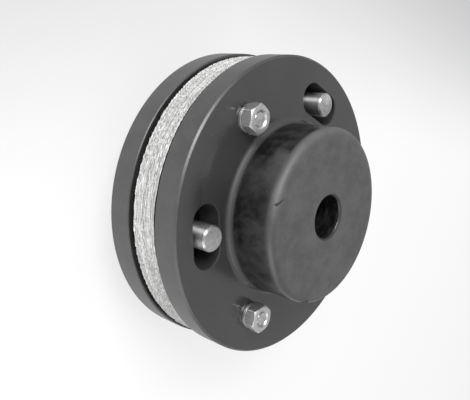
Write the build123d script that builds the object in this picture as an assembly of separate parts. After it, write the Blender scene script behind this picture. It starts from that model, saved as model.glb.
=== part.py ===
"""Flexible disc coupling: two flanged hubs, a laminated fabric disc and six drive pins.

Units are millimetres. +Z is the shaft axis. The coupling stands on the end of its rear boss,
which is at Z = 0, and the front boss points up. The front drive pins sit at 0, 120 and 240
degrees about Z, and the rear ones half way between them.
"""
import os
from math import cos, radians, tan

from build123d import *

# ---- hubs -------------------------------------------------------------------------------
FLANGE_DIAMETER = 200.0
FLANGE_THICKNESS = 17.5
FLANGE_CHAMFER = 1.3           # rim edge on the boss side
DISC_SIDE_CHAMFER = 0.6        # rim edge beside the disc
BOSS_LENGTH = 34.0             # from the flange face to the boss end
BOSS_ROUNDING = 4.0            # edge of the boss end
BOSS_FILLET = 4.0              # root of the boss on the flange
BORE_DIAMETER = 28.0
BORE_CHAMFER = 1.0

# ---- pin circle -------------------------------------------------------------------------
PINS_PER_HUB = 3
RIM_TO_PINS = 25.0             # from the flange rim in to the pin circle
BOSS_TO_PINS = 18.0            # from the boss out to the pin circle, room for a spanner
SLOT_SIDE_CLEARANCE = 2.5      # between a pin and the long sides of its slot
SLOT_END_CLEARANCE = 12.0      # between a pin and the ends of its slot
SLOT_CHAMFER = 0.4

# ---- drive pins -------------------------------------------------------------------------
PIN_DIAMETER = 16.0
PIN_PROTRUSION = 5.2           # plain end beyond the opposite flange
PIN_END_CHAMFER = 1.0
STUD_DIAMETER = 10.0           # threaded end
STUD_CHAMFER = 0.9
STUD_HOLE_CLEARANCE = 0.1      # radial, stud in the flange
STUD_RECESS = 0.5              # stud end below the outer face of the nut

# ---- nuts and lock washers --------------------------------------------------------------
NUT_ACROSS_FLATS = 17.0
NUT_HEIGHT = 8.0
NUT_CORNER_ANGLE = 30.0        # turned corners, measured from the nut's faces
NUT_THREAD_CLEARANCE = 0.05    # radial, nut on the stud
NUT_COUNTERSINK = 0.7
NUT_TURNS = (5.0, 19.0, 12.0)  # angle at which each nut came to a stop
WASHER_THICKNESS = 2.2
WASHER_SECTION_WIDTH = 3.6
WASHER_STUD_CLEARANCE = 0.2    # radial, washer round the stud
WASHER_SPLIT = 1.2             # width of the cut
WASHER_SPLIT_LEAN = 30.0       # lean of the cut from the axis

# ---- flexible disc ----------------------------------------------------------------------
DISC_SETBACK = 1.75            # from the flange rim in to the disc's edge
DISC_THICKNESS = 18.5
DISC_PLIES = 3
PLY_GROOVE_DEPTH = 0.4         # the edge dips a little where two plies meet
DISC_CENTRE_HOLE = 60.0
DISC_PIN_CLEARANCE = 0.1       # radial, pins in the disc
FACE_GAP = 3.0                 # between the disc and each flange

# ---- sizes and places that follow from those above --------------------------------------
RIM_RADIUS = FLANGE_DIAMETER / 2
PIN_CIRCLE_RADIUS = RIM_RADIUS - RIM_TO_PINS
BOSS_RADIUS = PIN_CIRCLE_RADIUS - BOSS_TO_PINS
BORE_RADIUS = BORE_DIAMETER / 2
DISC_RADIUS = RIM_RADIUS - DISC_SETBACK
PIN_RADIUS = PIN_DIAMETER / 2
STUD_RADIUS = STUD_DIAMETER / 2

HUB_LENGTH = FLANGE_THICKNESS + BOSS_LENGTH
SLOT_WIDTH = PIN_DIAMETER + 2 * SLOT_SIDE_CLEARANCE
SLOT_LENGTH = PIN_DIAMETER + 2 * SLOT_END_CLEARANCE
SHANK_LENGTH = FACE_GAP + DISC_THICKNESS + FACE_GAP + FLANGE_THICKNESS + PIN_PROTRUSION
NUT_SEAT = FLANGE_THICKNESS + WASHER_THICKNESS
STUD_LENGTH = NUT_SEAT + NUT_HEIGHT - STUD_RECESS
NUT_CORNER_RADIUS = NUT_ACROSS_FLATS / 2 / cos(radians(30))

PIN_PITCH = 360 / PINS_PER_HUB
REAR_INNER_FACE = HUB_LENGTH
DISC_BOTTOM = REAR_INNER_FACE + FACE_GAP
FRONT_INNER_FACE = DISC_BOTTOM + DISC_THICKNESS + FACE_GAP

# A half coupling is made in its own frame: the inner face of its flange is at Z = 0, its
# boss points to +Z and its first pin is at 0 degrees. The rear half is the same half turned
# over, and turned by half a pitch so that its pins stand opposite the front hub's slots.
FRONT_HALF = Pos(0, 0, FRONT_INNER_FACE)
REAR_HALF = Pos(0, 0, REAR_INNER_FACE) * Rot(0, 0, PIN_PITCH / 2) * Rot(180, 0, 0)

FROM_BELOW = (Align.CENTER, Align.CENTER, Align.MIN)


def pin_places(start):
    """Places on the pin circle from the angle `start` on, with X pointing outwards."""
    angles = [start + PIN_PITCH * index for index in range(PINS_PER_HUB)]
    return [Rot(0, 0, angle) * Pos(PIN_CIRCLE_RADIUS, 0, 0) for angle in angles]


def make_hub():
    """One casting, turned to a single profile, with its pin holes drilled and slots milled."""
    with BuildPart() as hub:
        with BuildSketch(Plane.XZ):
            with BuildLine():
                rim = Polyline(
                    (BORE_RADIUS + BORE_CHAMFER, 0),
                    (RIM_RADIUS - DISC_SIDE_CHAMFER, 0),
                    (RIM_RADIUS, DISC_SIDE_CHAMFER),
                    (RIM_RADIUS, FLANGE_THICKNESS - FLANGE_CHAMFER),
                    (RIM_RADIUS - FLANGE_CHAMFER, FLANGE_THICKNESS),
                )
                boss = FilletPolyline(
                    rim @ 1,
                    (BOSS_RADIUS, FLANGE_THICKNESS),
                    (BOSS_RADIUS, HUB_LENGTH),
                    (BORE_RADIUS + BORE_CHAMFER, HUB_LENGTH),
                    radius=(BOSS_FILLET, BOSS_ROUNDING),
                )
                Polyline(
                    boss @ 1,
                    (BORE_RADIUS, HUB_LENGTH - BORE_CHAMFER),
                    (BORE_RADIUS, BORE_CHAMFER),
                    rim @ 0,
                )
            make_face()
        revolve(axis=Axis.Z)
        with Locations(pin_places(0)):
            Cylinder(
                STUD_RADIUS + STUD_HOLE_CLEARANCE,
                FLANGE_THICKNESS,
                align=FROM_BELOW,
                mode=Mode.SUBTRACT,
            )
        with BuildSketch():
            with Locations(pin_places(PIN_PITCH / 2)):
                SlotOverall(SLOT_LENGTH, SLOT_WIDTH, rotation=90)
        extrude(amount=FLANGE_THICKNESS, mode=Mode.SUBTRACT)
        mouths = hub.edges(Select.LAST).filter_by(Plane.XY)
        chamfer(mouths, SLOT_CHAMFER)
    return hub.part


def make_drive_pin():
    """Plain shank below the flange's inner face, shoulder on it, threaded end above it."""
    with BuildPart() as pin:
        with BuildSketch(Plane.XZ):
            with BuildLine():
                Polyline(
                    (0, -SHANK_LENGTH),
                    (PIN_RADIUS - PIN_END_CHAMFER, -SHANK_LENGTH),
                    (PIN_RADIUS, -SHANK_LENGTH + PIN_END_CHAMFER),
                    (PIN_RADIUS, 0),
                    (STUD_RADIUS, 0),
                    (STUD_RADIUS, STUD_LENGTH - STUD_CHAMFER),
                    (STUD_RADIUS - STUD_CHAMFER, STUD_LENGTH),
                    (0, STUD_LENGTH),
                    close=True,
                )
            make_face()
        revolve(axis=Axis.Z)
    return pin.part


def make_lock_washer():
    """Square-section spring washer, pressed flat, with its leaning cut still open."""
    inner = STUD_RADIUS + WASHER_STUD_CLEARANCE
    outer = inner + WASHER_SECTION_WIDTH
    with BuildPart() as washer:
        with BuildSketch():
            Circle(outer)
            Circle(inner, mode=Mode.SUBTRACT)
        extrude(amount=WASHER_THICKNESS)
        with Locations(Pos((inner + outer) / 2, 0, WASHER_THICKNESS / 2)):
            Box(
                2 * WASHER_SECTION_WIDTH,
                WASHER_SPLIT,
                4 * WASHER_THICKNESS,
                rotation=(WASHER_SPLIT_LEAN, 0, 0),
                mode=Mode.SUBTRACT,
            )
    return washer.part


def make_nut(turn):
    """Hexagon nut with turned corners on both faces and a countersunk thread hole."""
    flat = NUT_ACROSS_FLATS / 2
    corner_drop = (NUT_CORNER_RADIUS - flat) * tan(radians(NUT_CORNER_ANGLE))
    hole = STUD_RADIUS + NUT_THREAD_CLEARANCE
    with BuildPart() as nut:
        with BuildSketch():
            RegularPolygon(NUT_CORNER_RADIUS, 6, rotation=turn)
        extrude(amount=NUT_HEIGHT)
        with BuildSketch(Plane.XZ):
            with BuildLine():
                Polyline(
                    (hole + NUT_COUNTERSINK, 0),
                    (flat, 0),
                    (NUT_CORNER_RADIUS, corner_drop),
                    (NUT_CORNER_RADIUS, NUT_HEIGHT - corner_drop),
                    (flat, NUT_HEIGHT),
                    (hole + NUT_COUNTERSINK, NUT_HEIGHT),
                    (hole, NUT_HEIGHT - NUT_COUNTERSINK),
                    (hole, NUT_COUNTERSINK),
                    close=True,
                )
            make_face()
        revolve(axis=Axis.Z, mode=Mode.INTERSECT)
    return nut.part


def make_flexible_disc():
    """Bonded fabric plies: a stack of slightly crowned edges, six pin holes, a central hole."""
    ply = DISC_THICKNESS / DISC_PLIES
    heights = [ply * index for index in range(DISC_PLIES + 1)]
    groove_radius = DISC_RADIUS - PLY_GROOVE_DEPTH
    with BuildPart() as disc:
        with BuildSketch(Plane.XZ):
            with BuildLine():
                for low, high in zip(heights, heights[1:]):
                    ThreePointArc(
                        (groove_radius, low),
                        (DISC_RADIUS, (low + high) / 2),
                        (groove_radius, high),
                    )
                Polyline(
                    (groove_radius, DISC_THICKNESS),
                    (DISC_CENTRE_HOLE / 2, DISC_THICKNESS),
                    (DISC_CENTRE_HOLE / 2, 0),
                    (groove_radius, 0),
                )
            make_face()
        revolve(axis=Axis.Z)
        with Locations(pin_places(0) + pin_places(PIN_PITCH / 2)):
            Cylinder(
                PIN_RADIUS + DISC_PIN_CLEARANCE,
                DISC_THICKNESS,
                align=FROM_BELOW,
                mode=Mode.SUBTRACT,
            )
    return disc.part


def make_half(side, place):
    """All the pieces of one half coupling, by node name, at the place of that half."""
    pieces = {f"{side}_hub": place * make_hub()}
    drive_pin = make_drive_pin()
    lock_washer = make_lock_washer()
    for number, (spot, turn) in enumerate(zip(pin_places(0), NUT_TURNS), start=1):
        pin_axis = place * spot
        pieces[f"{side}_drive_pin_{number}"] = pin_axis * drive_pin
        pieces[f"{side}_lock_washer_{number}"] = pin_axis * Pos(0, 0, FLANGE_THICKNESS) * lock_washer
        pieces[f"{side}_pin_nut_{number}"] = pin_axis * Pos(0, 0, NUT_SEAT) * make_nut(turn)
    return pieces


nodes = make_half("front", FRONT_HALF)
nodes.update(make_half("rear", REAR_HALF))
nodes["flexible_disc"] = Pos(0, 0, DISC_BOTTOM) * make_flexible_disc()

os.makedirs("parts", exist_ok=True)
for name, solid in nodes.items():
    export_step(solid, f"parts/{name}.step")
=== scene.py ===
"""Looks of the flexible disc coupling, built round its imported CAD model.

Blender's scene is in metres, in the CAD frame: +Z is the shaft axis, and the coupling stands on
its rear boss end. Sizes below are in millimetres and MM turns them into metres.
"""

from math import cos, pi, radians, sin, tan

import bpy
import numpy as np
from mathutils import Matrix, Vector
from mathutils.geometry import delaunay_2d_cdt


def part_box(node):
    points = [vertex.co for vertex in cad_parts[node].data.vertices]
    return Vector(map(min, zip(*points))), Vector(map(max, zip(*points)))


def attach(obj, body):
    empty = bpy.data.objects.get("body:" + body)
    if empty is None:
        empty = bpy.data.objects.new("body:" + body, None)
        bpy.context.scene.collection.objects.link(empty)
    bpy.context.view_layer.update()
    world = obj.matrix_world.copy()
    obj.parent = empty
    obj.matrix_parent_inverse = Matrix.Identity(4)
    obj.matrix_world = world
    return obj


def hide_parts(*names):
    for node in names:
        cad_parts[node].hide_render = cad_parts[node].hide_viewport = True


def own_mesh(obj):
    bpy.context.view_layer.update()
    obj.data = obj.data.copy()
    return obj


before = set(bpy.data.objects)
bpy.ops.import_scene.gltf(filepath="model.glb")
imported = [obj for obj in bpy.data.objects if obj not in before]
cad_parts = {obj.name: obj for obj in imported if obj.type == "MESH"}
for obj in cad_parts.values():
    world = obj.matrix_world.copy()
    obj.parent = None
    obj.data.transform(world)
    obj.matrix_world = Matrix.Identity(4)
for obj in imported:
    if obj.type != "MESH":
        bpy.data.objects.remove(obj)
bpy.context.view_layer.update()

MM = 0.001
FULL_TURN = 2 * pi

# ---- places, read from the CAD nodes ---------------------------------


def node_span(node):
    """Lowest and highest Z of a CAD node, in millimetres."""
    low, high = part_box(node)
    return low[2] / MM, high[2] / MM


REAR_END, REAR_INNER_FACE = node_span("rear_hub")
FRONT_INNER_FACE, FRONT_END = node_span("front_hub")
DISC_BOTTOM, DISC_TOP = node_span("flexible_disc")
RIM_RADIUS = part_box("front_hub")[1][0] / MM
DISC_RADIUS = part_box("flexible_disc")[1][0] / MM
PIN_CIRCLE_RADIUS = sum(corner[0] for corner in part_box("front_drive_pin_1")) / 2 / MM
PIN_RADIUS = (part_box("front_drive_pin_1")[1][1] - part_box("front_drive_pin_1")[0][1]) / 2 / MM
SHOULDER_TO_PIN_END = FRONT_INNER_FACE - node_span("front_drive_pin_1")[0]
SHOULDER_TO_STUD_END = node_span("front_drive_pin_1")[1] - FRONT_INNER_FACE
WASHER_LOW, WASHER_HIGH = [z - FRONT_INNER_FACE for z in node_span("front_lock_washer_1")]
NUT_LOW, NUT_HIGH = [z - FRONT_INNER_FACE for z in node_span("front_pin_nut_1")]
MIDDLE = (REAR_END + FRONT_END) / 2


# ---- directions ------------------------------------------------------
def towards(bearing, elevation=0.0):
    """Unit vector at a bearing from +X and an elevation above the floor, both in degrees."""
    bearing, elevation = radians(bearing), radians(elevation)
    return Vector((cos(bearing) * cos(elevation), sin(bearing) * cos(elevation), sin(elevation)))


def left_of(direction):
    """A level direction, turned left by 90 degrees."""
    return Vector((-direction.y, direction.x))


# ---- meshes ----------------------------------------------------------
SHARP_ANGLE = 40.0    # degrees between two faces from which their edge is sharp
ROUND_STEPS = 3       # parts of a round
ROUND_SHARE = 0.4     # most of a side that the round at one end of it may take
SUPPORT_REACH = 1.5   # the next point beyond a round, in reaches of that round
SUPPORT_SHARE = 0.45  # and the most of a side that it is along


def add_piece(name, vertices, faces, material, place=Matrix()):
    """A smooth-shaded mesh object from points in millimetres, sharp only at real edges."""
    mesh = bpy.data.meshes.new(name)
    mesh.from_pydata((np.asarray(vertices) * MM).tolist(), [], faces)
    mesh.update()
    mesh.shade_smooth()
    mesh.set_sharp_from_angle(angle=radians(SHARP_ANGLE))
    mesh.materials.append(material)
    piece = bpy.data.objects.new(name, mesh)
    piece.matrix_world = place
    bpy.context.scene.collection.objects.link(piece)
    return piece


def store(piece, name, values):
    """Keeps one number for each point of a piece, for its material to read."""
    attribute = piece.data.attributes.new(name, "FLOAT", "POINT")
    attribute.data.foreach_set("value", values.astype(np.float32))


def strip_faces(rows, columns, first=0, wrap_rows=False):
    """Quads over rows of points that each close on themselves, numbered from first."""
    row = np.arange(rows if wrap_rows else rows - 1)[:, None]
    column = np.arange(columns)[None, :]
    low, high = row * columns, (row + 1) % rows * columns
    after = (column + 1) % columns
    corners = np.broadcast_arrays(low + column, low + after, high + after, high + column)
    return (np.stack(corners, axis=-1).reshape(-1, 4) + first).tolist()


def tube_faces(rows, columns, first=0):
    """Quads round a tube of points, and one face over each of its ends."""
    start = list(range(first, first + columns))
    end = list(range(first + (rows - 1) * columns, first + rows * columns))
    return strip_faces(rows, columns, first) + [start[::-1], end]


def turned(radii, heights, angles):
    """Points of a turned surface, in rows; the three arrays are stretched over each other."""
    points = np.broadcast_arrays(radii * np.cos(angles), radii * np.sin(angles), heights)
    return np.stack(points, axis=-1)


def capped(points):
    """Vertices and faces of a turned surface closed by a fan on the axis at each end."""
    rows, columns = points.shape[:2]
    low_centre, high_centre = rows * columns, rows * columns + 1
    centres = [(0, 0, points[0, 0, 2]), (0, 0, points[-1, 0, 2])]
    vertices = np.vstack([points.reshape(-1, 3), centres])
    faces = strip_faces(rows, columns)
    top = (rows - 1) * columns
    for column in range(columns):
        after = (column + 1) % columns
        faces.append((low_centre, after, column))
        faces.append((high_centre, top + column, top + after))
    return vertices, faces


def rounded(outline, radius):
    """The outline's points with every inner corner turned into a small round."""
    outline = [np.array(point, float) for point in outline]
    points = [outline[0]]
    for before, corner, after in zip(outline, outline[1:], outline[2:]):
        back, on = before - corner, after - corner
        back_length, on_length = np.linalg.norm(back), np.linalg.norm(on)
        shorter = min(back_length, on_length)
        back, on = back / back_length, on / on_length
        half_angle = np.arccos(np.clip(back @ on, -1, 1)) / 2
        reach = min(radius / tan(half_angle), ROUND_SHARE * shorter)
        support = min(SUPPORT_REACH * reach, SUPPORT_SHARE * shorter)
        start, end = corner + back * reach, corner + on * reach
        points.append(corner + back * support)
        for s in np.linspace(0, 1, ROUND_STEPS + 1):
            points.append((1 - s) ** 2 * start + 2 * s * (1 - s) * corner + s ** 2 * end)
        points.append(corner + on * support)
    points.append(outline[-1])
    return np.array(points)


# ---- shader nodes ----------------------------------------------------
NOISE_RANGE = (0.3, 0.7)   # most of a noise's values lie between these
SOFT_RANGE = (0.25, 0.75)  # nearly all do, which gives a softer contrast
HARD_RANGE = (0.35, 0.65)


class Paint:
    """One material and short ways to add nodes to it. Inputs may be numbers, colours or sockets."""

    def __init__(self, name, **sockets):
        self.material = bpy.data.materials.new(name)
        self.material.use_nodes = True
        self.tree = self.material.node_tree
        self.shader = self.tree.nodes["Principled BSDF"]
        self.use(**sockets)

    def use(self, **sockets):
        """Sets the shader's own sockets; their names have _ for a space."""
        self.fill(self.shader, {name.replace("_", " "): value for name, value in sockets.items()})

    def fill(self, node, inputs):
        """Sets or links a node's inputs, given by name or number. One number makes a grey."""
        for key, value in inputs.items():
            socket = node.inputs[key]
            if isinstance(value, bpy.types.NodeSocket):
                self.tree.links.new(value, socket)
            elif socket.type == "RGBA":
                color = value if isinstance(value, tuple) else (value, value, value)
                socket.default_value = (*color, 1)
            else:
                socket.default_value = value

    def node(self, kind, inputs=(), **settings):
        node = self.tree.nodes.new("ShaderNode" + kind)
        for key, value in settings.items():
            setattr(node, key, value)
        self.fill(node, dict(inputs))
        return node

    def place(self):
        """The surface's place in its object, in metres, as one vector and as x, y and z."""
        place = self.node("TexCoord").outputs["Object"]
        return place, self.node("SeparateXYZ", {0: place}).outputs

    def axis_distance(self, parts):
        """Distance from the object's own Z axis."""
        flat = self.node("CombineXYZ", {0: parts[0], 1: parts[1]}).outputs[0]
        return self.node("VectorMath", {0: flat}, operation="LENGTH").outputs["Value"]

    def plane_distance(self, parts, direction, start=Vector((0, 0))):
        """How far a point lies past start along a level direction; start is in millimetres."""
        x = self.product(self.math("SUBTRACT", parts[0], start.x * MM), direction.x)
        y = self.product(self.math("SUBTRACT", parts[1], start.y * MM), direction.y)
        return self.math("ADD", x, y)

    def levelness(self):
        """1 on a face across Z and 0 on a wall along it."""
        facing = self.node("NewGeometry").outputs["True Normal"]
        return self.math("ABSOLUTE", self.node("SeparateXYZ", {0: facing}).outputs[2])

    def scaled(self, place, factors):
        """Coordinates times factors: a small factor draws a pattern out along its own axis."""
        return self.node("VectorMath", {0: place, 1: factors}, operation="MULTIPLY").outputs[0]

    def noise(self, vector, size, detail=2, roughness=0.5):
        """Noise between 0 and 1 whose features are about size millimetres across."""
        inputs = {"Vector": vector, "Scale": 1 / (size * MM), "Detail": detail, "Roughness": roughness}
        return self.node("TexNoise", inputs).outputs["Fac"]

    def math(self, operation, a, b=0.0):
        return self.node("Math", {0: a, 1: b}, operation=operation).outputs[0]

    def product(self, value, *factors):
        for factor in factors:
            value = self.math("MULTIPLY", value, factor)
        return value

    def span(self, value, limits, ends=(0.0, 1.0)):
        """Runs smoothly from one end to the other as value goes from limit to limit."""
        inputs = {"Value": value, "From Min": limits[0], "From Max": limits[1],
                  "To Min": ends[0], "To Max": ends[1]}
        return self.node("MapRange", inputs, interpolation_type="SMOOTHSTEP").outputs[0]

    def span_mm(self, length, limits, ends=(0.0, 1.0)):
        """span() of a length in metres between limits in millimetres."""
        return self.span(length, (limits[0] * MM, limits[1] * MM), ends)

    def spread(self, noise, ends):
        """span() of a noise over its usual range."""
        return self.span(noise, NOISE_RANGE, ends)

    def blend(self, factor, a, b):
        """a where the factor is 0 and b where it is 1."""
        return self.node("Mix", {0: factor, 2: a, 3: b}, data_type="FLOAT").outputs[0]

    def mix(self, factor, a, b):
        """blend() of two colours or directions."""
        return self.node("Mix", {0: factor, 6: a, 7: b}, data_type="RGBA").outputs[2]

    def grey(self, tone):
        return self.node("CombineColor", {0: tone, 1: tone, 2: tone}).outputs[0]

    def bump(self, height, depth, normal=None):
        """A bump of depth millimetres, on top of another normal if there is one."""
        inputs = {"Height": height, "Distance": depth * MM, "Strength": 1.0}
        if normal is not None:
            inputs["Normal"] = normal
        return self.node("Bump", inputs).outputs[0]


# ---- hub iron --------------------------------------------------------
FLANGE_THICKNESS = 17.5
BOSS_RADIUS = 57.0
BORE_RADIUS = 14.0
END_FACE = FRONT_END - MIDDLE  # from the middle, as FLANGE_FACE is
FLANGE_FACE = FRONT_INNER_FACE + FLANGE_THICKNESS - MIDDLE

# Where one surface gives way to the next: its mask is 0 at the first size and 1 at the second.
FLANGE_TO_FILLET = (FLANGE_FACE + 0.6, FLANGE_FACE + 1.6)  # heights from the middle
FILLET_TO_SIDE = (FLANGE_FACE + 3, FLANGE_FACE + 5)
TO_BOSS_EDGE_HIGHLIGHT_HEIGHT = (END_FACE - 7, END_FACE - 3)
TO_SOFTER_EDGE = (END_FACE - 12, END_FACE - 6)
SIDE_TO_END = (BOSS_RADIUS - 0.3, BOSS_RADIUS - 5)         # radii
TO_BOSS_EDGE_HIGHLIGHT_RADIUS = (BOSS_RADIUS - 6.5, BOSS_RADIUS - 2)
TO_RIM = (RIM_RADIUS - 1.6, RIM_RADIUS - 1.2)
TO_MOUTH = (BORE_RADIUS + 1.6, BORE_RADIUS + 1.1)
TO_BORE = (BORE_RADIUS + 0.4, BORE_RADIUS + 0.1)
WALLS_BELOW = FLANGE_FACE + 0.1                            # walls of slots and pin holes
WALLS_WITHIN = RIM_RADIUS - 3
WALL_LEVELNESS = 0.85

# Tones are linear greys. A pair runs over the noise behind it, from low to high.
FLANGE_TONE, FLANGE_ROUGHNESS = (0.021, 0.027), (0.20, 0.27)
# painted dark reflection of the boss on the front flange
BOSS_REFLECTION_TONE, BOSS_REFLECTION_ROUGHNESS = 0.006, 0.55
FILLET_TONE, FILLET_ROUGHNESS = 0.024, 0.68
SIDE_TONE, SIDE_ROUGHNESS = (0.000, 0.014), (0.32, 0.42)
END_TONE, END_ROUGHNESS = (0.038, 0.066), 0.50
# painted highlight along the edge of each boss end
BOSS_EDGE_HIGHLIGHT_TONE, BOSS_EDGE_HIGHLIGHT_ROUGHNESS = (0.062, 0.082), 0.60
RIM_TONE, RIM_ROUGHNESS = (0.029, 0.041), 0.42
# painted shade on the walls of slots and pin holes, in the bore's mouths and in the bore
WALL_TONE, WALL_ROUGHNESS = 0.005, 0.75
MOUTH_TONE, MOUTH_ROUGHNESS = 0.012, 0.80
BORE_TONE, BORE_ROUGHNESS = (0.003, 0.026), 0.30
KNOCK_TONE, KNOCK_ROUGHNESS = 0.013, 0.90
PALE_MARK_TONE = 0.07              # of the pale rim edges, partly wear and partly painted highlight, and of pale specks
PATCH_CONTRAST = (0.35, 1.0)  # shares of the tone beneath
GRAIN_CONTRAST = (0.84, 1.16)

# How much of its noise's range each pattern uses.
PATCH_RANGE = (0.35, 0.62)
PIT_TONE_RANGE, PIT_ROUGHNESS_RANGE = (0.38, 0.62), (0.36, 0.64)
SCORE_RANGE = (0.42, 0.70)
SPECK_RANGE = (0.755, 0.775)  # so high that there are few

EDGE_SOFTNESS = 0.9           # radius that the shading gives to sharp edges
BOSS_EDGE_SOFTNESS = 3.0
PALE_EDGE_COSINES = (0.995, 0.94)  # of the angle between the softened normal and the real one
PALE_EDGE_CONTRAST = (0.4, 1.0)
WAVE_DEPTH, GRAIN_DEPTH, KNOCK_DEPTH = 0.03, 0.016, 0.10

BOSS_EDGE_HIGHLIGHT_BEARING = 68.0       # painted highlight: the boss edges are palest on this side
BOSS_EDGE_HIGHLIGHT_ACROSS = (-22, 8)    # from the axis towards it, where they grow paler
BOSS_EDGE_HIGHLIGHT_LEAST = 0.25
BOSS_REFLECTION_BEARING = 152.0         # middle of a painted dark reflection of the boss on the front flange
BOSS_REFLECTION_RADII = (83, 79)        # its outer edge
BOSS_REFLECTION_COSINES = (0.82, 0.94)  # of the angle from its middle, where it fades in
BOSS_REFLECTION_RAGGEDNESS = 8.0

FACE_KNOCK_FROM = (-52.9, 19.9)  # a nick that runs in across the front boss's edge
FACE_KNOCK_TO = (-43.5, 23.7)
FACE_KNOCK_HALF_WIDTHS = (1.1, 0.4)
FACE_KNOCK_WANDER = 0.8
FACE_KNOCK_FADES = (1, 5)        # over so much of its start and its end
FACE_KNOCK_DEEPEST = 5.0         # it reaches no further down the boss's side than this
EDGE_DENT_BEARING = 247.0       # a dark dented oval along the same edge
EDGE_DENT_LENGTH = 9.0
EDGE_DENT_SPAN = (0.2, 4.6)     # how far below the boss end it starts and stops
EDGE_DENT_RAGGEDNESS = (-0.45, 0.45)


class HubPaint(Paint):
    """The hubs' material, with the measures and noises that its surfaces share.

    A look below is a pair: a tone and a roughness.
    """

    def __init__(self):
        super().__init__("hub_iron", Specular_IOR_Level=1.0)
        self.point, self.parts = self.place()
        self.radius = self.axis_distance(self.parts)
        self.from_middle = self.math("ABSOLUTE", self.math("SUBTRACT", self.parts[2], MIDDLE * MM))
        self.blotches = self.noise(self.point, size=11, detail=3, roughness=0.55)
        self.pits = self.noise(self.point, size=7, detail=5, roughness=0.6)
        self.grain = self.noise(self.point, size=0.9, detail=3, roughness=0.6)

    def lay_over(self, mask, under, over):
        """The look under, covered by the look over where the mask is 1."""
        return [self.blend(mask, below, above) for below, above in zip(under, over)]


def hub_iron():
    """Cast iron under a thin dark satin finish: smooth on the flange, mottled on the boss."""
    hub = HubPaint()
    rim = hub.span_mm(hub.radius, TO_RIM)
    on_boss = hub.span_mm(hub.from_middle, FLANGE_TO_FILLET)
    look = hub.lay_over(on_boss, flange_look(hub), boss_look(hub))
    # painted highlight along the edge of each boss end
    boss_edge_highlight_look = (hub.spread(hub.blotches, BOSS_EDGE_HIGHLIGHT_TONE), BOSS_EDGE_HIGHLIGHT_ROUGHNESS)
    look = hub.lay_over(painted_boss_edge_highlight(hub), look, boss_edge_highlight_look)
    look = hub.lay_over(rim, look, (hub.spread(hub.blotches, RIM_TONE), RIM_ROUGHNESS))
    # painted shade in the slots, pin holes, bore mouths and bore
    tone, rough = holes_look(hub, look)

    edge = softened_edges(hub)
    tone = hub.product(tone, hub.span(hub.grain, SOFT_RANGE, GRAIN_CONTRAST))
    # lighter rim edges: wear, and a painted highlight of the rounded edge
    tone = hub.math("MAXIMUM", tone, edge_wear_and_highlight(hub, edge, rim))
    knock = hub.math("MAXIMUM", face_knock(hub), edge_dark_dent(hub))
    tone, rough = hub.lay_over(knock, (tone, rough), (KNOCK_TONE, KNOCK_ROUGHNESS))

    normal = hub.bump(hub.noise(hub.point, size=4.5), WAVE_DEPTH, edge)
    normal = hub.bump(hub.grain, GRAIN_DEPTH, normal)
    normal = hub.bump(hub.math("SUBTRACT", 1.0, knock), KNOCK_DEPTH, normal)
    hub.use(Base_Color=hub.grey(tone), Roughness=rough, Normal=normal)
    return hub.material


def flange_look(hub):
    """Smooth satin finish, dull and darker in a painted dark reflection of the boss."""
    clouds = hub.noise(hub.point, size=30, detail=4)
    satin = (hub.spread(clouds, FLANGE_TONE), hub.spread(hub.blotches, FLANGE_ROUGHNESS))
    return hub.lay_over(painted_boss_reflection(hub), satin, (BOSS_REFLECTION_TONE, BOSS_REFLECTION_ROUGHNESS))


def boss_look(hub):
    """Dull fillet, a nearly black side with a faint patchy mottle, and a paler end."""
    patches = hub.span(hub.noise(hub.point, size=26, detail=1), PATCH_RANGE, PATCH_CONTRAST)
    side_tone = hub.product(hub.span(hub.pits, PIT_TONE_RANGE, SIDE_TONE), patches)
    side = (side_tone, hub.span(hub.pits, PIT_ROUGHNESS_RANGE, SIDE_ROUGHNESS))
    mottle = hub.noise(hub.point, size=11, detail=6, roughness=0.7)
    end = (hub.spread(mottle, END_TONE), END_ROUGHNESS)
    past_fillet = hub.lay_over(hub.span_mm(hub.radius, SIDE_TO_END), side, end)
    on_side = hub.span_mm(hub.from_middle, FILLET_TO_SIDE)
    return hub.lay_over(on_side, (FILLET_TONE, FILLET_ROUGHNESS), past_fillet)


def painted_boss_edge_highlight(hub):
    """How strong the painted highlight along the edge of each boss end is."""
    ring = hub.span_mm(hub.radius, TO_BOSS_EDGE_HIGHLIGHT_RADIUS)
    near_end = hub.span_mm(hub.from_middle, TO_BOSS_EDGE_HIGHLIGHT_HEIGHT)
    across = hub.plane_distance(hub.parts, towards(BOSS_EDGE_HIGHLIGHT_BEARING))
    return hub.product(ring, near_end, hub.span_mm(across, BOSS_EDGE_HIGHLIGHT_ACROSS, (BOSS_EDGE_HIGHLIGHT_LEAST, 1.0)))


def holes_look(hub, look):
    """The look, with painted shade on the walls of slots and pin holes, in the bore's mouths and in the
    bore.
    """
    tone, rough = look
    wall = hub.product(hub.math("LESS_THAN", hub.levelness(), WALL_LEVELNESS),
                       hub.math("LESS_THAN", hub.from_middle, WALLS_BELOW * MM),
                       hub.math("LESS_THAN", hub.radius, WALLS_WITHIN * MM))
    mouth = hub.span_mm(hub.radius, TO_MOUTH)
    tone = hub.blend(mouth, hub.blend(wall, tone, WALL_TONE), MOUTH_TONE)
    rough = hub.blend(wall, hub.blend(mouth, rough, MOUTH_ROUGHNESS), WALL_ROUGHNESS)
    bore = hub.span_mm(hub.radius, TO_BORE)
    return hub.lay_over(bore, (tone, rough), (bore_tone(hub), BORE_ROUGHNESS))


def bore_tone(hub):
    """Painted shade in the bore, with faint lighter marks round it, left by the boring tool."""
    drawn_out = hub.scaled(hub.point, (0.25, 0.25, 1.0))
    scores = hub.noise(drawn_out, size=3.5, detail=4, roughness=0.7)
    return hub.span(scores, SCORE_RANGE, BORE_TONE)


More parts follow.
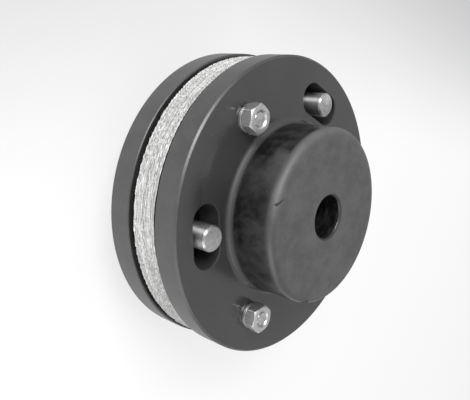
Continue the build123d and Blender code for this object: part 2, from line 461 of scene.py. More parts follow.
def painted_boss_reflection(hub):
    """1 in the painted dark reflection of the boss, which runs from the front boss's foot part of the
    way out over the flange.
    """
    out = hub.plane_distance(hub.parts, towards(BOSS_REFLECTION_BEARING))
    ragged = hub.product(hub.math("SUBTRACT", hub.blotches, 0.5), BOSS_REFLECTION_RAGGEDNESS * MM)
    within = hub.span_mm(hub.math("ADD", hub.radius, ragged), BOSS_REFLECTION_RADII)
    cosine = hub.math("DIVIDE", hub.math("ADD", out, ragged), hub.radius)
    on_front = hub.math("GREATER_THAN", hub.parts[2], (FLANGE_FACE + MIDDLE - 1) * MM)
    return hub.product(within, hub.span(cosine, BOSS_REFLECTION_COSINES), on_front)


def softened_edges(hub):
    """The surface's normal, rounded over sharp edges and most at the boss ends."""
    near_end = hub.span_mm(hub.from_middle, TO_SOFTER_EDGE)
    radius = hub.blend(near_end, EDGE_SOFTNESS * MM, BOSS_EDGE_SOFTNESS * MM)
    return hub.node("Bevel", {"Radius": radius}, samples=8).outputs[0]


def edge_wear_and_highlight(hub, edge, rim):
    """Tone of the lighter rim edges, partly worn metal and partly a painted highlight of the rounded
    edge, and of a few pale specks.
    """
    facing = hub.node("NewGeometry").outputs["Normal"]
    along = hub.node("VectorMath", {0: edge, 1: facing}, operation="DOT_PRODUCT").outputs["Value"]
    uneven = hub.span(hub.grain, HARD_RANGE, PALE_EDGE_CONTRAST)
    pale_edge = hub.product(hub.span(along, PALE_EDGE_COSINES), uneven, rim, PALE_MARK_TONE)
    specks = hub.span(hub.noise(hub.point, size=1.3, detail=1), SPECK_RANGE)
    return hub.math("MAXIMUM", pale_edge, hub.product(specks, PALE_MARK_TONE))


def face_knock(hub):
    """1 in the nick that runs in from the edge of the front boss, narrowing as it goes."""
    start, end = Vector(FACE_KNOCK_FROM), Vector(FACE_KNOCK_TO)
    length = (end - start).length
    inwards = (end - start) / length
    along = hub.plane_distance(hub.parts, inwards, start)
    aside = hub.plane_distance(hub.parts, left_of(inwards), start)
    wander = hub.product(hub.math("SUBTRACT", hub.grain, 0.5), FACE_KNOCK_WANDER * MM)
    aside = hub.math("ABSOLUTE", hub.math("ADD", aside, wander))
    wide, narrow = FACE_KNOCK_HALF_WIDTHS
    fade_in, fade_out = FACE_KNOCK_FADES
    half_width = hub.span_mm(along, (0, length), (wide * MM, narrow * MM))
    within = hub.span(hub.math("DIVIDE", aside, half_width), (1.0, 0.5))
    ends = hub.product(hub.span_mm(along, (0, fade_in)), hub.span_mm(along, (length, length - fade_out)))
    on_front = hub.math("GREATER_THAN", hub.parts[2], (FRONT_END - FACE_KNOCK_DEEPEST) * MM)
    return hub.product(within, on_front, ends)


def edge_dark_dent(hub):
    """1 in the dark dent along the edge of the front boss, a ragged oval."""
    outwards = towards(EDGE_DENT_BEARING)
    across = hub.plane_distance(hub.parts, left_of(outwards))
    out = hub.plane_distance(hub.parts, outwards)
    upper, lower = EDGE_DENT_SPAN
    down = hub.math("SUBTRACT", hub.parts[2], (FRONT_END - (upper + lower) / 2) * MM)
    across = hub.math("DIVIDE", across, EDGE_DENT_LENGTH / 2 * MM)
    down = hub.math("DIVIDE", down, (lower - upper) / 2 * MM)
    reach = hub.math("ADD", hub.product(across, across), hub.product(down, down))
    flakes = hub.noise(hub.point, size=2.2, detail=4, roughness=0.7)
    ragged = hub.math("ADD", reach, hub.spread(flakes, EDGE_DENT_RAGGEDNESS))
    outside = hub.math("GREATER_THAN", out, (BOSS_RADIUS - 4) * MM)
    return hub.product(hub.span(ragged, (1.0, 0.8)), outside)


# ---- steel -----------------------------------------------------------
PIN_TONE = 0.70
BLOTCH_CONTRAST, GROOVE_CONTRAST, SPECK_CONTRAST = (0.74, 1.06), (0.94, 1.04), (0.72, 1.0)
DARK_SPECK_RANGE = (0.28, 0.36)
GROOVE_DEPTH, SPECK_DEPTH = 0.005, 0.006
SHANK_ROUGHNESS = (0.46, 0.36)
PIN_END_ROUGHNESS = (0.52, 0.42)
PIN_END_REACH = (1.1, 0.3)       # how near to the pin's end its look starts and is whole
FLAT_LEVELNESS = 0.9
END_SHINE = (-0.77, 0.64, 0.0)   # the marks on a flat end shine across this direction
END_SHINE_SHARE = 0.85
NUT_TONE, NUT_ROUGHNESS = 0.74, 0.45
WASHER_TONE, WASHER_ROUGHNESS = 0.60, 0.46
STAIN_CONTRAST, MARK_CONTRAST = (0.80, 1.04), (0.84, 1.06)
STAIN_ROUGHNESS = (0.06, -0.05)  # added to a plated piece's roughness
DENT_DEPTH = 0.02


def pin_steel():
    """Bare steel with lathe marks: rings along a shank and rings on an end face."""
    paint = Paint("pin_steel", Metallic=1.0, Anisotropic=0.92, Anisotropic_Rotation=0.25)
    point, (x, y, height) = paint.place()
    radius = paint.axis_distance((x, y))
    rings = paint.node("CombineXYZ", {0: paint.math("ADD", radius, height)}).outputs[0]
    grooves = paint.noise(rings, size=0.25, detail=3, roughness=0.7)
    blotches = paint.noise(point, size=2.2, detail=4, roughness=0.65)
    specks = paint.noise(point, size=0.7)
    tone = paint.product(paint.spread(blotches, BLOTCH_CONTRAST), paint.spread(grooves, GROOVE_CONTRAST),
                         paint.span(specks, DARK_SPECK_RANGE, SPECK_CONTRAST), PIN_TONE)
    end = paint.span_mm(height, [reach - SHOULDER_TO_PIN_END for reach in PIN_END_REACH])
    rough = paint.blend(end, paint.spread(blotches, SHANK_ROUGHNESS),
                        paint.spread(blotches, PIN_END_ROUGHNESS))
    normal = paint.bump(specks, SPECK_DEPTH, paint.bump(grooves, GROOVE_DEPTH))
    flat = paint.math("GREATER_THAN", paint.levelness(), FLAT_LEVELNESS)
    tangent = paint.node("Tangent", direction_type="RADIAL", axis="Z").outputs[0]
    tangent = paint.mix(paint.product(flat, END_SHINE_SHARE), tangent, END_SHINE)
    paint.use(Base_Color=paint.grey(tone), Roughness=rough, Normal=normal, Tangent=tangent)
    return paint.material


def plated_steel(name, tone, roughness):
    """Plating on a forged surface: small dents, faint stains, and a shine drawn out along Z."""
    paint = Paint(name, Metallic=1.0, Anisotropic=0.35, Anisotropic_Rotation=0.25)
    point = paint.node("TexCoord").outputs["Object"]
    stains = paint.noise(point, size=4.0, detail=5, roughness=0.6)
    dents = paint.noise(point, size=1.6)
    marks = paint.noise(paint.scaled(point, (1.0, 1.0, 0.1)), size=0.8, detail=3, roughness=0.6)
    tone = paint.product(paint.spread(stains, STAIN_CONTRAST), tone, paint.spread(marks, MARK_CONTRAST))
    rough = paint.math("ADD", paint.spread(stains, STAIN_ROUGHNESS), roughness)
    tangent = paint.node("Tangent", direction_type="RADIAL", axis="Z").outputs[0]
    normal = paint.bump(dents, DENT_DEPTH)
    paint.use(Base_Color=paint.grey(tone), Roughness=rough, Normal=normal, Tangent=tangent)
    return paint.material


# ---- drive pins, washers and nuts ------------------------------------
PINS_PER_HUB = 3
STUD_RADIUS = 5.0
THREAD_PITCH = 1.5
THREAD_DEPTH = 0.9
THREAD_STEEPNESS = 1.25
THREAD_HALFWAY = 0.45  # its height in the middle of a flank
THREAD_GAP = 0.06      # between the stud's thread and the nut's

PIN_CHAMFER = 1.0
PIN_EDGE_ROUND = 0.15
PIN_COLUMNS = 72
STUD_ROWS = 120
STUD_CHAMFER = 0.9
AXIS_GAP = 0.4  # radius of the last ring on a flat end, round its centre
STUD_END_RADII = (3.9, 3.0, AXIS_GAP)

NUT_TURNS = (5.0, 19.0, 12.0)                   # angle at which each nut came to a stop
NUT_ACROSS_FLATS = 17.0
NUT_CORNER_ROUND = 0.10
NUT_CORNER_SLOPE = 0.5
NUT_FACE_RADIUS = 0.955 * NUT_ACROSS_FLATS / 2  # of the flat on each end
NUT_CORNER_FALL = tan(radians(30))              # of the turned corners, towards the outside
NUT_MOUTH = STUD_RADIUS + 0.7                   # radius of the countersink
NUT_COLUMNS = 144
NUT_BORE_ROWS = 44

WASHER_INNER_RADIUS = 5.2
WASHER_OUTER_RADIUS = 8.8
WASHER_SPLIT = 1.2
WASHER_SPLIT_LEAN = 30.0
WASHER_RISE = 0.12  # its ends stand this much apart along the axis
WASHER_EDGE_ROUND = 0.3
WASHER_SLICES = 100


def half_places():
    """Each half coupling: its name and the place of its own frame, inner flange face at Z = 0."""
    front = Matrix.Translation((0, 0, FRONT_INNER_FACE * MM))
    rear = (Matrix.Translation((0, 0, REAR_INNER_FACE * MM))
            @ Matrix.Rotation(pi / PINS_PER_HUB, 4, "Z") @ Matrix.Rotation(pi, 4, "X"))
    return (("front", front), ("rear", rear))


def pin_place(index):
    turn = Matrix.Rotation(FULL_TURN * index / PINS_PER_HUB, 4, "Z")
    return turn @ Matrix.Translation((PIN_CIRCLE_RADIUS * MM, 0, 0))


def thread_height(heights, angles):
    """0 at the root of the thread and 1 at its crest, with narrow flats on both."""
    phase = (heights[:, None] / THREAD_PITCH - angles[None, :] / FULL_TURN) % 1
    flank = 0.5 - 2 * abs(phase - 0.5)
    return np.clip(flank * THREAD_STEEPNESS + THREAD_HALFWAY, 0, 1)


def drive_pin_mesh():
    """Plain shank with a chamfered end, shoulder at Z = 0 and a threaded stud above it."""
    angles = np.linspace(0, FULL_TURN, PIN_COLUMNS, endpoint=False)
    low = -SHOULDER_TO_PIN_END
    outline = [(AXIS_GAP, low), (PIN_RADIUS - PIN_CHAMFER, low), (PIN_RADIUS, low + PIN_CHAMFER),
               (PIN_RADIUS, 0), (STUD_RADIUS, 0)]
    body = rounded(outline, PIN_EDGE_ROUND)
    stud = np.linspace(0, SHOULDER_TO_STUD_END, STUD_ROWS)[1:]
    crest = np.minimum(STUD_RADIUS, STUD_RADIUS - STUD_CHAMFER + SHOULDER_TO_STUD_END - stud)
    cut = THREAD_DEPTH * np.clip(stud / THREAD_PITCH, 0, 1)
    threaded = STUD_RADIUS - cut[:, None] * (1 - thread_height(stud, angles))
    threaded = np.minimum(threaded, crest[:, None])
    columns = np.ones(len(angles))
    radii = np.vstack([np.outer(body[:, 0], columns), threaded, np.outer(STUD_END_RADII, columns)])
    stud_end = np.full(len(STUD_END_RADII), SHOULDER_TO_STUD_END)
    heights = np.concatenate([body[:, 1], stud, stud_end])
    return capped(turned(radii, heights[:, None], angles))


def hexagon_radius(angles, turn):
    """Distance from the axis to a hexagon's sides, with its corners slightly rounded."""
    off_flat = (angles - turn) % (pi / 3) - pi / 6
    radius = NUT_ACROSS_FLATS / 2 / np.cos(off_flat)
    corner = NUT_ACROSS_FLATS / 2 / cos(pi / 6)
    off_corner = pi / 6 - abs(off_flat)
    return np.minimum(radius, corner - NUT_CORNER_ROUND - NUT_CORNER_SLOPE * off_corner)


def nut_end(side):
    """Radius and depth of each ring of a nut's end, from the countersink out and down its sides."""
    flat = NUT_FACE_RADIUS
    drop = (side - flat) * NUT_CORNER_FALL
    face = [(NUT_MOUTH, 0.0), (NUT_MOUTH + 0.12, 0.0), (NUT_MOUTH + 0.4, 0.0), (flat - 0.25, 0.0)]
    edge = [(flat, 0.03), (flat + 0.25, 0.25 * NUT_CORNER_FALL + 0.01)]
    cone = [(side - 0.30, drop - 0.30 * NUT_CORNER_FALL), (side - 0.10, drop)]
    corner = [(side - 0.02, drop + 0.12), (side, drop + 0.32), (side, drop + 0.6)]
    return face + edge + cone + corner


def nut_mesh(turn):
    """Hexagon nut with 30 degree turned corners, soft edges, countersinks and a real thread."""
    angles = np.linspace(0, FULL_TURN, NUT_COLUMNS, endpoint=False) + turn
    end = nut_end(hexagon_radius(angles, turn))
    rings = [(radius, NUT_LOW + depth) for radius, depth in end]
    rings += [(radius, NUT_HIGH - depth) for radius, depth in reversed(end)]
    bore = np.linspace(NUT_HIGH, NUT_LOW, NUT_BORE_ROWS)[1:-1]
    grooves = STUD_RADIUS + THREAD_GAP - THREAD_DEPTH * (1 - thread_height(bore, angles))
    for height, radius in zip(bore, grooves):
        countersink = NUT_MOUTH - min(height - NUT_LOW, NUT_HIGH - height)
        rings.append((np.maximum(radius, countersink), height))
    points = np.vstack([turned(radius, height, angles) for radius, height in rings])
    return points, strip_faces(len(rings), NUT_COLUMNS, wrap_rows=True)


def lock_washer_mesh():
    """Split spring washer: a square section with soft corners, swept round and cut on a slant."""
    inner, outer = WASHER_INNER_RADIUS, WASHER_OUTER_RADIUS
    low, high = WASHER_LOW, WASHER_HIGH
    start = (inner, low + 1)  # part of the way up a side, so that each corner is rounded
    loop = [start, (inner, low), (outer, low), (outer, high - WASHER_RISE),
            (inner, high - WASHER_RISE), start]
    section = rounded(loop, WASHER_EDGE_ROUND)[:-1]
    middle_radius = (inner + outer) / 2
    half_cut = WASHER_SPLIT / 2 / cos(radians(WASHER_SPLIT_LEAN)) / middle_radius
    lean = (section[:, 1] - (low + high) / 2) * tan(radians(WASHER_SPLIT_LEAN)) / middle_radius
    round_it = np.linspace(0, 1, WASHER_SLICES)[:, None]
    angles = half_cut + round_it * (FULL_TURN - 2 * half_cut) - lean
    heights = section[:, 1] + WASHER_RISE * round_it
    faces = [face[::-1] for face in tube_faces(*angles.shape)]
    return turned(section[:, 0], heights, angles).reshape(-1, 3), faces


def make_fasteners():
    pin_paint = pin_steel()
    nut_paint = plated_steel("nut_steel", NUT_TONE, NUT_ROUGHNESS)
    washer_paint = plated_steel("washer_steel", WASHER_TONE, WASHER_ROUGHNESS)
    pin = drive_pin_mesh()
    washer = lock_washer_mesh()
    for side, half in half_places():
        for index, turn in enumerate(NUT_TURNS):
            place = half @ pin_place(index)
            number = index + 1
            kinds = (("drive_pin", pin, pin_paint, "pin_steel"),
                     ("lock_washer", washer, washer_paint, "washer_steel"),
                     ("pin_nut", nut_mesh(radians(turn)), nut_paint, "nut_steel"))
            for kind, (vertices, faces), paint, slot in kinds:
                piece = add_piece(f"{side}_{kind}_{number}_detail", vertices, faces, paint, place)
                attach(piece, f"{side}_half")
                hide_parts(f"{side}_{kind}_{number}")


# ---- woven disc ------------------------------------------------------
PLIES = 3
LAYERS_PER_PLY = 4
PIN_HOLE_RADIUS = 8.1
CENTRE_HOLE_RADIUS = 30.0
PIN_HOLE_POINTS = 48
CENTRE_HOLE_POINTS = 96
EDGE_COLUMNS = 1200
EDGE_ROWS = 72

WARP_DIRECTION = 35.0               # degrees: the warp runs along the edge at 125 degrees
WARP_SPREAD = 2.0                   # how far the layers' directions differ from it
YARN_PITCH = 1.3
YARN_HALF_WIDTH = 0.47 * YARN_PITCH
YARN_BULGE = 0.62                   # how far a yarn stands out over the gap beside it
YARN_UNEVENNESS = 0.16
YARN_TONE, YARN_TONE_SPREAD = 0.66, 0.045
GAP_DEPTH = 0.42
GAP_TONE = 0.8
JOINT_BAND = 0.55                   # how far from a joint to a ply's middle the gaps are filled
JOINT_FILL = 0.75
JOINT_DEPTH = 0.12
FACE_ROUND = 0.5                    # how far from a flat face the edge starts to turn in
FACE_ROUND_DEPTH = 0.2
SLOW_WAVE, QUICK_WAVE = 0.14, 0.10  # heights of the waves round the edge
SLOW_WAVES, QUICK_WAVES = 3, 7      # and their numbers

DARK_FACE_REACH = (0.08, 0.02)                     # from a flat face: where its near-black colour starts and is whole
DARK_FACE_TONES = (0.006, 0.012)
YARN_CONTRAST = (0.46, 1.0)                   # brightness in the gaps, darkened as painted shade, and on the yarns
CLOUD_CONTRAST, STREAK_CONTRAST = (0.92, 1.05), (0.66, 1.12)
BAND_CONTRAST, FIBRE_CONTRAST = (0.66, 1.08), (0.88, 1.08)
FIBRE_DEPTH = 0.10
BLUE_SHARE = 0.99                             # the cloth is very slightly yellow
FABRIC_ROUGHNESS, YARN_ROUGHNESS = 0.72, 0.2  # the second is added on the yarns


def woven_fabric():
    """Off-white yarns with painted shade in the darker gaps between them; the flat faces are nearly
    black.
    """
    paint = Paint("disc_fabric", Specular_IOR_Level=0.25, Sheen_Weight=0.1, Sheen_Roughness=0.5)
    point, (_, _, height) = paint.place()
    yarn = paint.node("Attribute", attribute_name="yarn").outputs["Fac"]
    tint = paint.node("Attribute", attribute_name="tint").outputs["Fac"]
    streaks = paint.noise(paint.scaled(point, (0.14, 0.14, 1.0)), size=0.55, detail=3, roughness=0.6)
    bands = paint.noise(paint.scaled(point, (0.012, 0.012, 1.0)), size=1.0, detail=3, roughness=0.6)
    fibres = paint.noise(point, size=0.4, detail=3, roughness=0.6)
    clouds = paint.noise(point, size=9, detail=3)

    # painted shade: the gaps between the yarns are darkened
    filled = paint.math("ADD", yarn, paint.product(streaks, 0.5))
    bright = paint.product(tint, paint.spread(clouds, CLOUD_CONTRAST),
                           paint.spread(streaks, STREAK_CONTRAST),
                           paint.span(bands, HARD_RANGE, BAND_CONTRAST),
                           paint.span(fibres, SOFT_RANGE, FIBRE_CONTRAST),
                           paint.span(filled, SOFT_RANGE, YARN_CONTRAST))
    blue = paint.product(bright, BLUE_SHARE)
    cloth = paint.node("CombineColor", {0: bright, 1: bright, 2: blue}).outputs[0]

    # the flat faces are nearly black
    starts, whole = DARK_FACE_REACH
    near_low = paint.span_mm(height, (DISC_BOTTOM + starts, DISC_BOTTOM + whole))
    near_high = paint.span_mm(height, (DISC_TOP - starts, DISC_TOP - whole))
    near_face = paint.math("MAXIMUM", near_low, near_high)
    face_tone = paint.mix(paint.span(clouds, HARD_RANGE), *DARK_FACE_TONES)
    rough = paint.math("ADD", FABRIC_ROUGHNESS, paint.product(yarn, YARN_ROUGHNESS))
    normal = paint.bump(fibres, FIBRE_DEPTH)
    paint.use(Base_Color=paint.mix(near_face, cloth, face_tone), Roughness=rough, Normal=normal)
    return paint.material


def yarns(up, around):
    """Relief, solidity and tone of the yarns on the cut edge, at a height and a bearing.

    Each layer is a plain weave with its own small turn and shift. The yarns are followed
    through the layer, so that they show as dots where the edge cuts them squarely and as long
    streaks where they run along it.
    """
    rng = np.random.default_rng(11)
    layers = PLIES * LAYERS_PER_PLY
    layer_height = (DISC_TOP - DISC_BOTTOM) / layers
    half_yarn = layer_height / 4
    direction = np.radians(WARP_DIRECTION + rng.normal(0, WARP_SPREAD, layers))
    shift = rng.uniform(0, YARN_PITCH, (2, layers))
    count = int(4 * DISC_RADIUS / YARN_PITCH)
    stand = rng.normal(0, 1, (2, layers, count))
    shade = rng.normal(0, 1, (2, layers, count))

    layer = np.clip((up / layer_height).astype(int), 0, layers - 1)
    inside = up - (layer + 0.5) * layer_height
    bearing = around - direction[layer]
    x = DISC_RADIUS * np.cos(bearing) + shift[0][layer]
    y = DISC_RADIUS * np.sin(bearing) + shift[1][layer]

    relief = np.full(up.shape, -GAP_DEPTH)
    solid = np.zeros(up.shape)
    tint = np.full(up.shape, GAP_TONE)
    for family, (across, along, square) in enumerate(((y, x, np.cos(bearing)), (x, y, np.sin(bearing)))):
        index = np.floor(across / YARN_PITCH).astype(int)
        aside = across - (index + 0.5) * YARN_PITCH
        wave = half_yarn * np.cos(pi * (along / YARN_PITCH + index + family))
        distance = (aside / YARN_HALF_WIDTH) ** 2 + ((inside - wave) / half_yarn) ** 2
        bulge = np.sqrt(np.clip(1 - distance, 0, 1))
        uneven = stand[family, layer, index % count] * abs(square)
        height = -GAP_DEPTH + bulge * (YARN_BULGE + YARN_UNEVENNESS * uneven)
        tone = YARN_TONE + YARN_TONE_SPREAD * shade[family, layer, index % count]
        on_top = height > relief
        relief = np.where(on_top, height, relief)
        solid = np.where(on_top, bulge, solid)
        tint = np.where(on_top, tone, tint)
    return relief, solid, tint


def weave(angles, heights):
    """Cut edge of the laminated cloth: how far it stands out, how solid and how bright it is."""
    up, around = np.meshgrid(heights - DISC_BOTTOM, angles, indexing="ij")
    relief, solid, tint = yarns(up, around)
    ply_height = (DISC_TOP - DISC_BOTTOM) / PLIES
    to_joint = abs((up / ply_height + 0.5) % 1 - 0.5) * 2  # 0 at a joint, 1 in a ply's middle
    packed = np.clip(1 - to_joint / JOINT_BAND, 0, 1)
    solid = np.maximum(solid, packed * JOINT_FILL)
    relief = relief - JOINT_DEPTH * packed
    to_face = np.minimum(up, DISC_TOP - DISC_BOTTOM - up)
    relief = relief - FACE_ROUND_DEPTH * np.clip(1 - to_face / FACE_ROUND, 0, 1) ** 2
    slow = SLOW_WAVE * np.sin(SLOW_WAVES * around + 1.0)
    quick = QUICK_WAVE * np.sin(QUICK_WAVES * around + up * 0.3)
    return relief + (slow + quick), solid, tint


def pin_hole_centres():
    turns = np.arange(2 * PINS_PER_HUB) * pi / PINS_PER_HUB
    return PIN_CIRCLE_RADIUS * np.stack([np.cos(turns), np.sin(turns)], axis=1)


def hole_loops():
    """Centre and radius of every hole through the disc, with the points round it."""
    holes = [(centre, PIN_HOLE_RADIUS, PIN_HOLE_POINTS) for centre in pin_hole_centres()]
    holes.append((np.zeros(2), CENTRE_HOLE_RADIUS, CENTRE_HOLE_POINTS))
    loops = []
    for centre, radius, count in holes:
        turns = np.linspace(0, FULL_TURN, count, endpoint=False)
        circle = np.stack([np.cos(turns), np.sin(turns)], axis=1)
        loops.append((centre, radius, centre + radius * circle))
    return loops


def face_triangles(rim, loops):
    """Triangles between the rim's points and the holes, as indices into rim and then loops."""
    outlines = [rim] + [loop for _, _, loop in loops]
    edges = []
    first = 0
    for outline in outlines:
        edges += [(first + i, first + (i + 1) % len(outline)) for i in range(len(outline))]
        first += len(outline)
    points = np.vstack(outlines)
    inside_only, merge_distance = 1, 1e-6
    _, _, triangles, sources, _, _ = delaunay_2d_cdt(
        [Vector(point) for point in points], edges, [], inside_only, merge_distance)
    kept = []
    for triangle in triangles:
        ids = [sources[i][0] for i in triangle]
        middle = points[ids].mean(axis=0)
        if all(np.linalg.norm(middle - centre) > radius for centre, radius, _ in loops):
            kept.append(ids)
    return kept


def flat_face(rim, rim_start, loops, hole_start):
    """Faces of one flat side; its rim's and its holes' points start at these numbers."""
    return [[rim_start + i if i < EDGE_COLUMNS else hole_start + i - EDGE_COLUMNS for i in ids]
            for ids in face_triangles(rim, loops)]


def hole_walls(loops, low, high):
    """Walls of the holes, between their points on the low and the high flat side."""
    faces = []
    for _, _, loop in loops:
        count = len(loop)
        for i in range(count):
            after = (i + 1) % count
            faces.append((low + i, high + i, high + after, low + after))
        low += count
        high += count
    return faces


def make_disc(paint):
    angles = np.linspace(0, FULL_TURN, EDGE_COLUMNS, endpoint=False)
    heights = np.linspace(DISC_BOTTOM, DISC_TOP, EDGE_ROWS)
    relief, solid, tint = weave(angles, heights)
    edge = turned(DISC_RADIUS + relief, heights[:, None], angles)
    loops = hole_loops()
    hole_points = np.vstack([loop for _, _, loop in loops])
    low_holes, high_holes = [np.insert(hole_points, 2, z, axis=1) for z in (DISC_BOTTOM, DISC_TOP)]
    vertices = np.vstack([edge.reshape(-1, 3), low_holes, high_holes])

    on_edge = EDGE_ROWS * EDGE_COLUMNS
    low, high = on_edge, on_edge + len(hole_points)
    bottom = flat_face(edge[0, :, :2], 0, loops, low)
    top = flat_face(edge[-1, :, :2], on_edge - EDGE_COLUMNS, loops, high)
    faces = strip_faces(EDGE_ROWS, EDGE_COLUMNS) + [ids[::-1] for ids in bottom] + top
    piece = add_piece("woven_disc", vertices, faces + hole_walls(loops, low, high), paint)
    for name, values, elsewhere in (("yarn", solid, 1.0), ("tint", tint, GAP_TONE)):
        store(piece, name, np.append(values, np.full(len(vertices) - on_edge, elsewhere)))
    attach(piece, "disc")
    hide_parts("flexible_disc")


# ---- loose fibres ----------------------------------------------------
TUFTS = ((135.4, 2.7, 110), (164.9, 1.8, 50))  # bearing, length, number of fibres
TUFT_SPREAD = 0.009                            # in radians
TUFT_LEAN = -1.5
TUFT_THICKNESS = 0.28
STRAY_FIBRES = 620
STRAYS_AT_FACES = 0.6                          # share of them that starts close to a flat face
STRAY_LENGTHS = (0.3, 1.0)
STRAY_THICKNESSES = (0.10, 0.20)
FIBRE_SIDES, FIBRE_JOINTS = 4, 5
FIBRE_TAPER = 0.6
FIBRE_ROOT_DEPTH = 0.45
FIBRE_TONE = 0.82
GAPS = {"rear_gap_fibres": ("disc_slide", DISC_BOTTOM),
        "front_gap_fibres": ("front_half_slide", DISC_TOP)}


def fibre(root, direction, bend, length, thickness):
    """Points of one bent, tapering fibre."""
    s = np.linspace(0, 1, FIBRE_JOINTS)[:, None]
    spine = root + direction * length * s + bend * length * s ** 2
    across = np.cross(direction, bend + 1e-3)
    across /= np.linalg.norm(across)
    over = np.cross(direction, across)
    over /= np.linalg.norm(over)
    turns = np.linspace(0, FULL_TURN, FIBRE_SIDES, endpoint=False)
    ring = np.cos(turns)[:, None] * across + np.sin(turns)[:, None] * over
    taper = thickness / 2 * (1 - FIBRE_TAPER * s)
    return spine[:, None, :] + taper[:, :, None] * ring[None, :, :]


def gap_of(points):
    """Which group a fibre belongs to: one of the two gaps beside the disc, or its cut edge."""
    heights = points[..., 2]
    if heights.min() < DISC_BOTTOM:
        return "rear_gap_fibres"
    return "front_gap_fibres" if heights.max() > DISC_TOP else "edge_fibres"


def fibre_roots(rng):
    """Bearing, height, length, lean along Z and thickness of every loose fibre."""
    roots = []
    for bearing, length, count in TUFTS:
        for _ in range(count):
            angle = radians(bearing) + rng.normal(0, TUFT_SPREAD)
            height = DISC_BOTTOM + rng.uniform(0.1, 0.8)
            roots.append((angle, height, length * rng.uniform(0.5, 1.0), TUFT_LEAN, TUFT_THICKNESS))
    for _ in range(STRAY_FIBRES):
        angle = rng.uniform(0, FULL_TURN)
        if rng.random() < STRAYS_AT_FACES:
            height = rng.choice([DISC_BOTTOM + 0.2, DISC_TOP - 0.2])
        else:
            height = rng.uniform(DISC_BOTTOM, DISC_TOP)
        lean = rng.normal(0, 0.5)
        roots.append((angle, height, rng.uniform(*STRAY_LENGTHS), lean, rng.uniform(*STRAY_THICKNESSES)))
    return roots


def make_fibres(paint):
    """Frayed yarn ends: two tufts in the rear gap and short strays all round the cut edge.

    Those in a gap get a mesh of their own.
    """
    rng = np.random.default_rng(29)
    groups = {"rear_gap_fibres": ([], []), "front_gap_fibres": ([], []), "edge_fibres": ([], [])}
    for angle, height, length, lean, thickness in fibre_roots(rng):
        outwards = np.array([cos(angle), sin(angle), 0])
        around = np.array([-sin(angle), cos(angle), 0])
        direction = outwards * 0.6 + around * rng.normal(0, 0.5) + np.array([0, 0, lean])
        direction /= np.linalg.norm(direction)
        bend = rng.normal(0, 0.35, 3)
        root = outwards * (DISC_RADIUS - FIBRE_ROOT_DEPTH) + np.array([0, 0, height])
        points = fibre(root, direction, bend, length, thickness).reshape(-1, 3)
        blocks, faces = groups[gap_of(points)]
        faces += tube_faces(FIBRE_JOINTS, FIBRE_SIDES, first=len(blocks) * len(points))
        blocks.append(points)
    for name, (blocks, faces) in groups.items():
        vertices = np.vstack(blocks)
        piece = add_piece(name, vertices, faces, paint)
        store(piece, "yarn", np.ones(len(vertices)))
        store(piece, "tint", np.full(len(vertices), FIBRE_TONE))
        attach(piece, "disc")
        if name in GAPS:
            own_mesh(piece)


# ---- camera, floor and lights ----------------------------------------
CAMERA_BEARING = 158.02          # degrees from +X, from the axis towards the camera
CAMERA_ELEVATION = 40.70         # degrees above the floor
CAMERA_DISTANCE = 421.2
CAMERA_ROLL = 103.53             # degrees: the shaft lies across the picture
AIM_POINT = (-1.18, -2.93, 47.96)
SENSOR_WIDTH = 36.0
LENS = 44.49
SEES_FROM, SEES_TO = 0.01, 50.0  # metres

FLOOR_SIZE = 12.0      # metres
FLOOR_TONE = (0.88, 0.92)
FLOOR_GLOW = 0.68      # share of its glow in what the camera and reflections see
DIMS_OVER = (30, 300)  # painted shade: the floor dims along +Y between these
DIMMEST = 0.60
DIM_BEND = 0.25        # and this much as fast away from X = DIM_MIDDLE
DIM_MIDDLE = 60

LAMPS = (("key", 122.0, 42.0, 0.6, 16.0),  # name, bearing, elevation, size, power
         ("fill", 222.0, 22.0, 1.2, 6.5))
LAMP_DISTANCE = 1.4                        # metres, as their sizes
SURROUNDINGS = 0.60


def make_camera():
    """The camera at the photograph's viewing angle."""
    data = bpy.data.cameras.new("camera")
    data.lens = LENS
    data.sensor_width = SENSOR_WIDTH
    data.clip_start, data.clip_end = SEES_FROM, SEES_TO
    camera = bpy.data.objects.new("camera", data)
    back = towards(CAMERA_BEARING, CAMERA_ELEVATION)
    place = (Vector(AIM_POINT) + back * CAMERA_DISTANCE) * MM
    turn = (-back).to_track_quat("-Z", "Y").to_matrix() @ Matrix.Rotation(radians(CAMERA_ROLL), 3, "Z")
    camera.matrix_world = Matrix.Translation(place) @ turn.to_4x4()
    bpy.context.scene.collection.objects.link(camera)
    bpy.context.scene.camera = camera


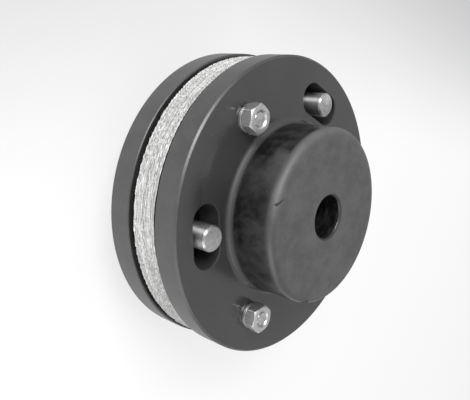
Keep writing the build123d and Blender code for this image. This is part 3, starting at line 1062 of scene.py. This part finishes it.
def make_floor():
    """A pale floor: it glows to the camera and in reflections, keeps the shadow, and is dimmed along +Y
    by painted shade.
    """
    paint = Paint("floor", Roughness=0.9, Specular_IOR_Level=0.1)
    point, (x, y, _) = paint.place()
    aside = paint.math("ABSOLUTE", paint.math("SUBTRACT", x, DIM_MIDDLE * MM))
    away = paint.math("ADD", y, paint.product(aside, DIM_BEND))
    # painted shade: the floor's colour and glow dim along +Y
    painted_falloff = paint.span_mm(away, DIMS_OVER, (1.0, DIMMEST))
    white = paint.product(paint.spread(paint.noise(point, size=400), FLOOR_TONE), painted_falloff)
    paint.use(Base_Color=paint.grey(white))
    rays = paint.node("LightPath").outputs
    seen = paint.math("MAXIMUM", rays["Is Glossy Ray"], rays["Is Transmission Ray"])
    seen = paint.math("MAXIMUM", seen, rays["Is Camera Ray"])
    glow = paint.node("Emission", {"Color": (1, 1, 1), "Strength": painted_falloff}).outputs[0]
    share = paint.product(seen, FLOOR_GLOW)
    both = paint.node("MixShader", {0: share, 1: paint.shader.outputs[0], 2: glow}).outputs[0]
    paint.tree.links.new(both, paint.tree.nodes["Material Output"].inputs[0])
    half = FLOOR_SIZE / 2 / MM
    corners = [(-half, -half, 0), (half, -half, 0), (half, half, 0), (-half, half, 0)]
    add_piece("floor", corners, [(0, 1, 2, 3)], paint.material)


def make_lights():
    """Two large soft lamps and plain white surroundings."""
    world = bpy.data.worlds.new("surroundings")
    world.use_nodes = True
    background = world.node_tree.nodes["Background"]
    background.inputs["Color"].default_value = (1, 1, 1, 1)
    background.inputs["Strength"].default_value = SURROUNDINGS
    bpy.context.scene.world = world
    for name, bearing, elevation, size, power in LAMPS:
        lamp = bpy.data.lights.new(name, "AREA")
        lamp.energy = power
        lamp.size = size
        holder = bpy.data.objects.new(name, lamp)
        back = towards(bearing, elevation)
        turn = back.to_track_quat("Z", "Y").to_matrix().to_4x4()
        holder.matrix_world = Matrix.Translation(back * LAMP_DISTANCE) @ turn
        bpy.context.scene.collection.objects.link(holder)


# ---- the scene -------------------------------------------------------
make_camera()
make_lights()
make_floor()

iron = hub_iron()
for side in ("front", "rear"):
    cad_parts[f"{side}_hub"].material_slots[0].material = iron
fabric = woven_fabric()
make_disc(fabric)
make_fibres(fabric)
make_fasteners()

bpy.context.scene.view_settings.view_transform = "Standard"
